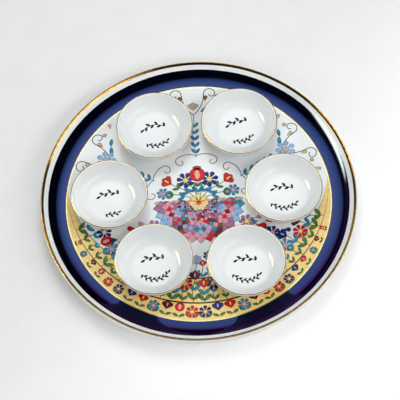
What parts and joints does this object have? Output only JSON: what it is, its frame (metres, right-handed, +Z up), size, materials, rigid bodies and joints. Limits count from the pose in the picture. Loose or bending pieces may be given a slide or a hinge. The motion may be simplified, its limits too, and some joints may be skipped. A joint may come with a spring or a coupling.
{
  "type": "seder plate",
  "caption": "Round white porcelain seder plate with an upturned cobalt-banded rim, holding small loose bowls for the ritual foods.",
  "frame": {"origin": "centre of the plate, on the table that its foot ring stands on", "axes": "+Z up, -Y towards the diner the decoration faces, +X to that diner's right"},
  "size_m": [0.33, 0.33, 0.031],
  "materials": {
    "plate_porcelain": "clear gloss glaze with a cobalt band, gold lustre lines and enamel decoration on the well",
    "bowl_porcelain": "clear gloss glaze with a gold lustre line on the lip"
  },
  "bodies": {
    "plate": {"plate": "plate_porcelain"},
    "bowl_back_left": {"bowl_back_left": "bowl_porcelain"},
    "bowl_back_right": {"bowl_back_right": "bowl_porcelain"},
    "bowl_right": {"bowl_right": "bowl_porcelain"},
    "bowl_front_right": {"bowl_front_right": "bowl_porcelain"},
    "bowl_front_left": {"bowl_front_left": "bowl_porcelain"},
    "bowl_left": {"bowl_left": "bowl_porcelain"}
  },
  "joints": [
    {"name": "bowl_back_left_lift", "type": "slide", "parent": "plate", "child": "bowl_back_left", "axis": [0, 0, 1], "range_m": [0, 0.06]},
    {"name": "bowl_back_right_lift", "type": "slide", "parent": "plate", "child": "bowl_back_right", "axis": [0, 0, 1], "range_m": [0, 0.06]},
    {"name": "bowl_right_lift", "type": "slide", "parent": "plate", "child": "bowl_right", "axis": [0, 0, 1], "range_m": [0, 0.06]},
    {"name": "bowl_front_right_lift", "type": "slide", "parent": "plate", "child": "bowl_front_right", "axis": [0, 0, 1], "range_m": [0, 0.06]},
    {"name": "bowl_front_left_lift", "type": "slide", "parent": "plate", "child": "bowl_front_left", "axis": [0, 0, 1], "range_m": [0, 0.06]},
    {"name": "bowl_left_lift", "type": "slide", "parent": "plate", "child": "bowl_left", "axis": [0, 0, 1], "range_m": [0, 0.06]}
  ]
}
